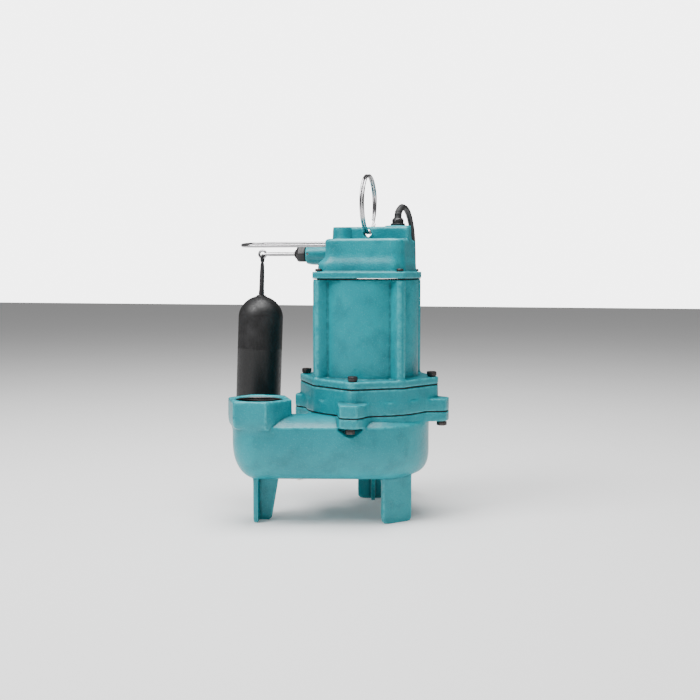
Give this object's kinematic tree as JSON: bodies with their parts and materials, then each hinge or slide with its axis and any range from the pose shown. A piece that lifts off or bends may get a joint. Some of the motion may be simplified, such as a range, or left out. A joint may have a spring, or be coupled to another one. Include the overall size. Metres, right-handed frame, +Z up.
{
  "type": "submersible sump pump",
  "caption": "Submersible sump pump with a three-legged cast volute, threaded top discharge, motor housing, lifting ring and a hanging float switch on a guarded arm.",
  "frame": {"origin": "middle of the pump's footprint box at floor level, measured without the power cord", "axes": "+Z is up along the motor shaft; -X points along the switch arm to the float; -Y is the front, where the discharge stands to the left; the volute casting is turned 13.2 degrees about the shaft against the motor"},
  "size_m": [0.2764, 0.4225, 0.4239],
  "materials": {
    "enamel": "glossy turquoise enamel over cast iron",
    "bright_steel": "polished stainless steel",
    "dark_steel": "dark plated steel",
    "black_rubber": "matt black rubber",
    "black_plastic": "moulded black plastic",
    "gasket": "thin black gasket",
    "copper": "varnished copper winding",
    "lamination": "stacked electrical steel",
    "bronze": "cast bronze",
    "ceramic": "ceramic seal face",
    "brass": "brass plug blades"
  },
  "bodies": {
    "pump": {"volute_casing": "enamel", "seal_housing": "enamel", "motor_housing": "enamel", "motor_cap": "enamel", "volute_gasket": "gasket", "housing_gasket": "gasket", "cap_gasket": "gasket", "stator_core": "lamination", "winding_upper": "copper", "winding_lower": "copper", "upper_bearing": "bronze", "seal_seat": "ceramic", "bearing_outer_race": "bright_steel", "float_guard": "bright_steel", "arm_pin": "bright_steel", "motor_bolt_1": "dark_steel", "motor_bolt_2": "dark_steel", "motor_bolt_3": "dark_steel", "motor_bolt_4": "dark_steel", "volute_bolt_1": "dark_steel", "volute_bolt_2": "dark_steel", "volute_bolt_3": "dark_steel", "volute_bolt_4": "dark_steel", "cap_screw_1": "dark_steel", "cap_screw_2": "dark_steel", "cap_screw_3": "dark_steel", "cap_screw_4": "dark_steel", "cord": "black_rubber", "cord_coil": "black_rubber", "cord_tail": "black_rubber", "plug_body": "black_rubber", "boot_nut": "black_plastic", "switch_body": "black_plastic", "cord_gland": "black_plastic", "cord_nut": "black_plastic", "plug_blade_1": "brass", "plug_blade_2": "brass", "plug_ground_pin": "brass"},
    "rotor": {"shaft": "bright_steel", "rotor_core": "lamination", "bearing_inner_race": "bright_steel", "bearing_balls": "bright_steel", "seal_head": "bright_steel", "impeller_nut": "bright_steel", "impeller": "bronze"},
    "arm": {"switch_arm": "bright_steel", "arm_boot": "black_rubber"},
    "float": {"float_hook": "black_plastic", "float": "black_plastic"},
    "ring": {"lifting_ring": "bright_steel"},
    "plunger": {"switch_plunger": "black_plastic"}
  },
  "joints": [
    {"name": "rotor_spin", "type": "hinge", "parent": "pump", "child": "rotor", "pos_m": [0.03634, 0.0089, 0.2], "axis": [0, 0, 1], "continuous": true},
    {"name": "arm_lift", "type": "hinge", "parent": "pump", "child": "arm", "pos_m": [-0.03966, 0.0089, 0.326], "axis": [0, 1, 0], "range_deg": [0, 8]},
    {"name": "float_swing", "type": "hinge", "parent": "arm", "child": "float", "pos_m": [-0.10266, 0.0089, 0.3249], "axis": [0, 1, 0], "range_deg": [-5, 12]},
    {"name": "ring_swing", "type": "hinge", "parent": "pump", "child": "ring", "pos_m": [0.03634, 0.0089, 0.3515], "axis": [0, 1, 0], "range_deg": [-60, 32]},
    {"name": "plunger_press", "type": "slide", "parent": "pump", "child": "plunger", "axis": [0, 0, -1], "range_m": [0, 0.0068]}
  ],
  "couplings": [
    {"joint": "plunger_press", "follows": "arm_lift", "m_per_rad": 0.048}
  ]
}
